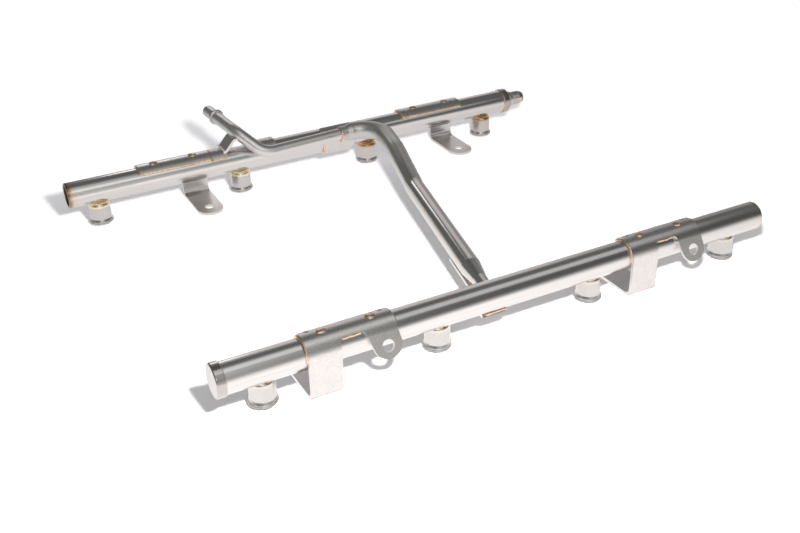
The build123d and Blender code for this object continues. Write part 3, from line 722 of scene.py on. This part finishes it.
# The small inlet tube has a matt skin and a rolled bead near its open end for a quick connector. It
# runs over a raised stamped bridge, down beside the far rail and into the crossover's socket, and is
# brazed to both with copper.
inlet_contrast = 0.08
inlet_roughness = (0.30, 0.46)
inlet_radius = 0.00476
inlet_inset = 0.01538
inlet_lift = 0.00855
socket_x = 0.02525
socket_ring_gap = 0.0006
socket_ring_thickness = 0.0009
socket_ring_unevenness = 2 / 3
socket_ring_segments = 64
bridge_front_angle = radians(52.0)
bridge_rear_angle = radians(-35.0)
bridge_left_edge = 0.010
bridge_right_edge = 0.014
strap_spots = {
    "front_right": (-0.0525, -0.003, 0.0205),
    "rear_right": (-0.0530, 0.004, 0.0207),
}
strap_outward = Vector((0.3, -0.3, 1.0))
strap_spot_radius = 0.0019
foot_spot_inset = 0.0125
foot_spot_radius = 0.0018
inlet_steel = matt_material("inlet_steel", satin_steel, inlet_contrast, inlet_roughness)
finish_node("inlet_tube", inlet_steel)
finish_node("inlet_bridge", stamped)
braze_ring(
    "inlet_socket_braze",
    (socket_x, rail_y["far"] - inlet_inset, rail_z + inlet_lift),
    inlet_radius + socket_ring_gap,
    socket_ring_thickness,
    "stainless_tube",
    socket_ring_unevenness,
    socket_ring_segments,
)

bridge_low, bridge_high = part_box("inlet_bridge")
bridge_span = bridge_front_angle, bridge_rear_angle
left_edge = bridge_low.x, bridge_low.x + bridge_left_edge
right_edge = bridge_high.x - bridge_right_edge, bridge_high.x
for side, end_x, edge in (("left", bridge_low.x, left_edge), ("right", bridge_high.x, right_edge)):
    braze_round(f"bridge_braze_{side}", end_x, "far", *bridge_span)
    braze_along(f"bridge_braze_{side}_edge", *edge, "far", bridge_front_angle)
for spot_name, (x, across, height) in strap_spots.items():
    centre = Vector((x, rail_y["far"] + across, rail_z + height))
    braze_spot(f"bridge_spot_{spot_name}", centre, strap_outward, strap_spot_radius)
foot_spot = round_tube(bridge_low.x + foot_spot_inset, 0.0, "far", rail_radius + sheet)
braze_spot("bridge_spot_foot", foot_spot, Vector((0.0, 0.0, 1.0)), foot_spot_radius)

# The service port is turned from stainless bar and brazed into the far cap. A brass valve core with
# a sprung pin sits in its bore, and a fine rolled thread outside takes a dust cap. Its tip is dark
# from the furnace.
scale_black = (0.05, 0.045, 0.04, 1.0)
brass = (0.74, 0.56, 0.28, 1.0)
brass_contrast = 0.1
port_line_cells = (1800.0, 90.0, 90.0)
port_tip_reach = 0.006
port_ring_thickness = 0.0005
thread_inset = 0.0075
thread_pitch = 0.0008
thread_radius = 0.00555
thread_ridge = 0.0003
thread_turns = 12
thread_sides = 6
winding_steps = 40
winding_merge = 0.00001
port_low, port_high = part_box("service_port")
port_tip = [("X", port_high.x, 0.0)]
port_steel = drawn_material(
    "port_steel", port_line_cells, zones=port_tip, reach=port_tip_reach, hot=scale_black
)
finish_node("service_port", port_steel)
brass_metal = matt_material("valve_brass", brass, brass_contrast)
for name in ("valve_core_body", "valve_pin"):
    finish_node(name, brass_metal)
port_base_radius = (port_high.z - port_low.z) / 2
port_joint = on_axis("far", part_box("end_cap_far")[1].x)
braze_ring("port_braze", port_joint, port_base_radius, port_ring_thickness)


def wound_wire(name, start_x, coil_radius, wire_radius, pitch, turns, sides):
    # A round section wound along the port's axis
    bpy.ops.mesh.primitive_circle_add(
        vertices=sides,
        radius=wire_radius,
        fill_type="NOTHING",
        location=(start_x, 0.0, coil_radius),
        rotation=(pi / 2, 0.0, 0.0),
    )
    wire = bpy.context.object
    wire.name = name
    bpy.ops.object.transform_apply(location=True, rotation=True, scale=True)
    winding = wire.modifiers.new("winding", "SCREW")
    winding.axis = "X"
    winding.screw_offset = pitch
    winding.iterations = turns
    winding.steps = winding_steps
    winding.render_steps = winding_steps
    bpy.ops.object.modifier_apply(modifier="winding")
    bpy.ops.object.mode_set(mode="EDIT")
    bpy.ops.mesh.select_all(action="SELECT")
    bpy.ops.mesh.remove_doubles(threshold=winding_merge)
    bpy.ops.mesh.fill_holes(sides=sides)
    bpy.ops.mesh.normals_make_consistent(inside=False)
    bpy.ops.object.mode_set(mode="OBJECT")
    wire.data.transform(Matrix.Translation(on_axis("far", 0.0)))
    bpy.ops.object.shade_smooth()
    return wire


thread = wound_wire(
    "port_thread",
    port_low.x + thread_inset,
    thread_radius,
    thread_ridge,
    thread_pitch,
    thread_turns,
    thread_sides,
)
thread.data.materials.append(port_steel)
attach(thread, "rail")

# The valve's spring is wound from fine wire. One end rests on the core and the other on the pin's
# collar.
spring_low, spring_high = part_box("valve_spring")
spring_wire = 0.00015
spring_turns = 4
spring_sides = 10
spring_coil = (spring_high.z - spring_low.z) / 2 - spring_wire
spring_start = spring_low.x + spring_wire
spring_end = spring_high.x - spring_wire
spring = wound_wire(
    "wound_spring",
    spring_start,
    spring_coil,
    spring_wire,
    (spring_end - spring_start) / spring_turns,
    spring_turns,
    spring_sides,
)
spring.data.materials.append(brass_metal)
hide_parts("valve_spring")
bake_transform(spring)

# Two seals keep the fuel in. A pale plastic ring sits round the valve's cartridge, and a black rubber
# washer is bonded to the pin's inner end.
seal_plastic = (0.80, 0.79, 0.76, 1.0)
seal_roughness = 0.4
pin_rubber = (0.05, 0.05, 0.05, 1.0)
rubber_roughness = 0.7
speckle_scale = 1500.0
speckle_shade = 0.7


def seal_material(name, colour, roughness):
    material, tree, shader = start_material(name)
    place = add_node(tree, "ShaderNodeTexCoord")
    speckle = add_node(tree, "ShaderNodeTexNoise", Scale=speckle_scale, Detail=3.0)
    mix = add_node(tree, "ShaderNodeMix", data_type="RGBA")
    mix.inputs["A"].default_value = colour
    mix.inputs["B"].default_value = tuple(part * speckle_shade for part in colour[:3]) + (1.0,)
    tree.links.new(place.outputs["Object"], speckle.inputs["Vector"])
    tree.links.new(speckle.outputs["Fac"], mix.inputs["Factor"])
    tree.links.new(mix.outputs["Result"], shader.inputs["Base Color"])
    shader.inputs["Roughness"].default_value = roughness
    return material


finish_node("valve_core_seal", seal_material("seal_plastic", seal_plastic, seal_roughness))
finish_node("valve_pin_seal", seal_material("pin_rubber", pin_rubber, rubber_roughness))

# The floor is a seamless white sheet that keeps the soft shadows under the part. The key lamp's light
# falls off quickly with distance, so the sheet also glows for the camera, more strongly further off,
# and stays white to its edge. The steel sees a painted pool of light in the sheet instead: a glow
# that is bright near the lamp and dimmer further off.
key_place = Vector((-0.125, -0.29, 0.33))
floor_place = Vector((0.0, 0.1, -0.0002))
floor_size = 6.0
floor_white = (0.84, 0.83, 0.84, 1.0)
floor_roughness = 0.9
glow_colour = (0.96, 0.95, 1.0, 1.0)
glow_distance = (0.35, 1.1)
glow_strength = (0.15, 0.86)
painted_pool_colour = (1.0, 0.97, 0.955, 1.0)
painted_pool_distance = (0.25, 0.75)
painted_pool_strength = (1.34, 0.58)
bpy.ops.mesh.primitive_plane_add(size=floor_size, location=floor_place)
floor = bpy.context.object
floor.name = "studio_floor"
floor_material, floor_tree, floor_shader = start_material("studio_floor")
floor_shader.inputs["Base Color"].default_value = floor_white
floor_shader.inputs["Roughness"].default_value = floor_roughness
floor_shader.inputs["Emission Color"].default_value = glow_colour
floor_coordinates = add_node(floor_tree, "ShaderNodeTexCoord")
from_key = add_node(floor_tree, "ShaderNodeVectorMath", operation="DISTANCE")
under_key = (key_place.x - floor_place.x, key_place.y - floor_place.y, 0.0)
from_key.inputs[1].default_value = under_key
glow_reach = map_range(floor_tree, glow_distance, glow_strength)
glow_reach.interpolation_type = "SMOOTHSTEP"
rays = add_node(floor_tree, "ShaderNodeLightPath")
glow = add_node(floor_tree, "ShaderNodeMath", operation="MULTIPLY")
# Painted pool of light: for glossy rays the sheet is an emission, strongest under the key lamp
painted_pool_reach = map_range(floor_tree, painted_pool_distance, painted_pool_strength)
painted_pool = add_node(floor_tree, "ShaderNodeEmission", Color=painted_pool_colour)
either = add_node(floor_tree, "ShaderNodeMixShader")
floor_link = floor_tree.links.new
floor_link(floor_coordinates.outputs["Object"], from_key.inputs[0])
floor_link(from_key.outputs["Value"], glow_reach.inputs["Value"])
floor_link(from_key.outputs["Value"], painted_pool_reach.inputs["Value"])
floor_link(painted_pool_reach.outputs["Result"], painted_pool.inputs["Strength"])
floor_link(rays.outputs["Is Camera Ray"], glow.inputs[0])
floor_link(glow_reach.outputs["Result"], glow.inputs[1])
floor_link(glow.outputs["Value"], floor_shader.inputs["Emission Strength"])
floor_link(rays.outputs["Is Glossy Ray"], either.inputs["Fac"])
floor_link(floor_shader.outputs["BSDF"], either.inputs[1])
floor_link(painted_pool.outputs["Emission"], either.inputs[2])
floor_link(either.outputs["Shader"], floor_tree.nodes["Material Output"].inputs["Surface"])
floor.data.materials.append(floor_material)
floor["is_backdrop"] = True

# The studio has a pale backdrop low behind the part and dark walls higher up. Its brightness follows
# the angle round the rails, so each tube shows light and dark bands along its length. The camera
# itself sees plain white.
wall_tint = (0.98, 1.0, 0.97)
far_horizon = (0.13, 0.13, 0.13, 1.0)
near_horizon = (0.92, 0.89, 0.88, 1.0)
right_bands = ((60.0, 0.12), (112.0, 0.12), (124.0, 0.08), (150.0, 0.08), (164.0, 0.16), (174.0, 0.50))
left_bands = ((60.0, 0.12), (88.0, 0.12), (108.0, 0.58), (142.0, 0.62), (156.0, 0.48), (170.0, 0.62))
right_wall_x = (0.18, 0.38)
left_wall_x = (-0.6, -0.2)
left_wall_grey = (0.17, 0.175, 0.17, 1.0)
backdrop_tint = (1.0, 0.97, 0.98)
backdrop_foot = (0.56, 0.5376, 0.5488, 1.0)
backdrop_bright = 0.56
backdrop_full_to = radians(33.0)
backdrop_top = radians(52.0)
backdrop_right = 0.35
backdrop_sides = ((0.57, 0.0), (0.62, 1.0), (0.74, 1.0), (0.80, backdrop_right))
white = (1.0, 1.0, 1.0, 1.0)
black = (0.0, 0.0, 0.0, 1.0)
world = bpy.data.worlds.new("studio")
bpy.context.scene.world = world
world.use_nodes = True
world_tree = world.node_tree
world_link = world_tree.links.new
direction = add_node(world_tree, "ShaderNodeTexCoord")
parts = add_node(world_tree, "ShaderNodeSeparateXYZ")
angle_up = add_node(world_tree, "ShaderNodeMath", operation="ARCTAN2")
half_turn = map_range(world_tree, (0.0, pi))
full_width = map_range(world_tree, (-1.0, 1.0))


def tinted(value, tint):
    return tuple(value * part for part in tint) + (1.0,)


def add_ramp(source, first, between, last):
    # The first colour stands at 0 and the last at 1
    node = add_node(world_tree, "ShaderNodeValToRGB")
    stops = node.color_ramp.elements
    stops[0].color = first
    stops[1].color = last
    for position, colour in between:
        stops.new(position).color = colour
    world_link(source.outputs["Result"], node.inputs["Fac"])
    return node


def wall_bands(bands):
    # Brightness by the angle above the far horizon, in degrees, up and over to the near horizon
    between = [(radians(up) / pi, tinted(value, wall_tint)) for up, value in bands]
    return add_ramp(half_turn, far_horizon, between, near_horizon)


def full_mix(blend_type):
    mix = add_node(world_tree, "ShaderNodeMix", data_type="RGBA", blend_type=blend_type)
    mix.inputs["Factor"].default_value = 1.0
    return mix


right_walls = wall_bands(right_bands)
left_walls = wall_bands(left_bands)
backdrop_height = add_ramp(
    half_turn,
    backdrop_foot,
    [
        (backdrop_full_to / pi, tinted(backdrop_bright, backdrop_tint)),
        (backdrop_top / pi, black),
    ],
    black,
)
backdrop_width = add_ramp(
    full_width,
    black,
    [(position, tinted(value, backdrop_tint)) for position, value in backdrop_sides],
    (backdrop_right, backdrop_right, backdrop_right, 1.0),
)
backdrop = full_mix("MULTIPLY")
with_backdrop = full_mix("ADD")
right_part = map_range(world_tree, right_wall_x)
walls = add_node(world_tree, "ShaderNodeMix", data_type="RGBA")
left_part = map_range(world_tree, left_wall_x)
sides = add_node(world_tree, "ShaderNodeMix", data_type="RGBA")
sides.inputs["A"].default_value = left_wall_grey
world_rays = add_node(world_tree, "ShaderNodeLightPath")
choose = add_node(world_tree, "ShaderNodeMix", data_type="RGBA")
choose.inputs["B"].default_value = white
background = world_tree.nodes["Background"]
background.inputs["Strength"].default_value = 1.0
world_link(direction.outputs["Generated"], parts.inputs["Vector"])
world_link(parts.outputs["Z"], angle_up.inputs[0])
world_link(parts.outputs["Y"], angle_up.inputs[1])
world_link(angle_up.outputs["Value"], half_turn.inputs["Value"])
for node in (full_width, right_part, left_part):
    world_link(parts.outputs["X"], node.inputs["Value"])
world_link(right_part.outputs["Result"], walls.inputs["Factor"])
world_link(left_walls.outputs["Color"], walls.inputs["A"])
world_link(right_walls.outputs["Color"], walls.inputs["B"])
world_link(backdrop_height.outputs["Color"], backdrop.inputs["A"])
world_link(backdrop_width.outputs["Color"], backdrop.inputs["B"])
world_link(walls.outputs["Result"], with_backdrop.inputs["A"])
world_link(backdrop.outputs["Result"], with_backdrop.inputs["B"])
world_link(left_part.outputs["Result"], sides.inputs["Factor"])
world_link(with_backdrop.outputs["Result"], sides.inputs["B"])
world_link(world_rays.outputs["Is Camera Ray"], choose.inputs["Factor"])
world_link(sides.outputs["Result"], choose.inputs["A"])
world_link(choose.outputs["Result"], background.inputs["Color"])

# Three softboxes light the part gently: one stands in front on the left, a long panel hangs over the
# near rail, and a narrow one stands behind the far rail.
middle = ((cad_low[0] + cad_high[0]) / 2, (cad_low[1] + cad_high[1]) / 2, 0.0)


def add_softbox(name, place, target, size, power):
    bpy.ops.object.light_add(type="AREA", location=place)
    lamp = bpy.context.object
    lamp.name = name
    lamp.data.shape = "RECTANGLE"
    lamp.data.size = size[0]
    lamp.data.size_y = size[1]
    lamp.data.energy = power
    aim = Vector(target) - Vector(place)
    lamp.rotation_euler = aim.to_track_quat("-Z", "Y").to_euler()


add_softbox(
    "front_softbox", place=(-0.38, -0.885, 0.66), target=middle, size=(0.30, 0.30), power=0.7
)
add_softbox(
    "overhead_panel",
    place=(0.08, -0.115, 0.40),
    target=(0.08, -0.115, 0.0),
    size=(0.72, 0.22),
    power=0.24,
)
add_softbox("line_softbox", place=(0.04, 1.0, 0.43), target=middle, size=(0.13, 0.26), power=0.16)

# The key lamp is small and close, beside the camera, so the shadows are crisp and spread outwards.
# The steel doesn't mirror it.
key_power = 24.0
key_bulb_radius = 0.024
key_colour = (1.0, 0.98, 0.96)
bpy.ops.object.light_add(type="POINT", location=key_place)
key = bpy.context.object
key.name = "key_light"
key.data.energy = key_power
key.data.shadow_soft_size = key_bulb_radius
key.data.color = key_colour
key.visible_glossy = False

# The camera stands in front of the near rail, to the left of its middle, and looks down at the part.
# Its lens is a normal one, close enough that the far rail looks smaller than the near one.
camera_place = Vector((-0.28601, -0.46500, 0.34571))
camera_heading = radians(62.83)
camera_fall = radians(29.5)
camera_roll = radians(-1.61)
camera_lens = 45.92
camera_sensor = 36.0
bpy.ops.object.camera_add(location=camera_place)
camera = bpy.context.object
facing = Matrix.Rotation(camera_heading - pi / 2, 3, "Z")
tipped = facing @ Matrix.Rotation(pi / 2 - camera_fall, 3, "X")
camera.rotation_euler = (tipped @ Matrix.Rotation(camera_roll, 3, "Z")).to_euler()
camera.data.lens = camera_lens
camera.data.sensor_width = camera_sensor
bpy.context.scene.camera = camera
bpy.context.scene.view_settings.view_transform = "Standard"

low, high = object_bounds()
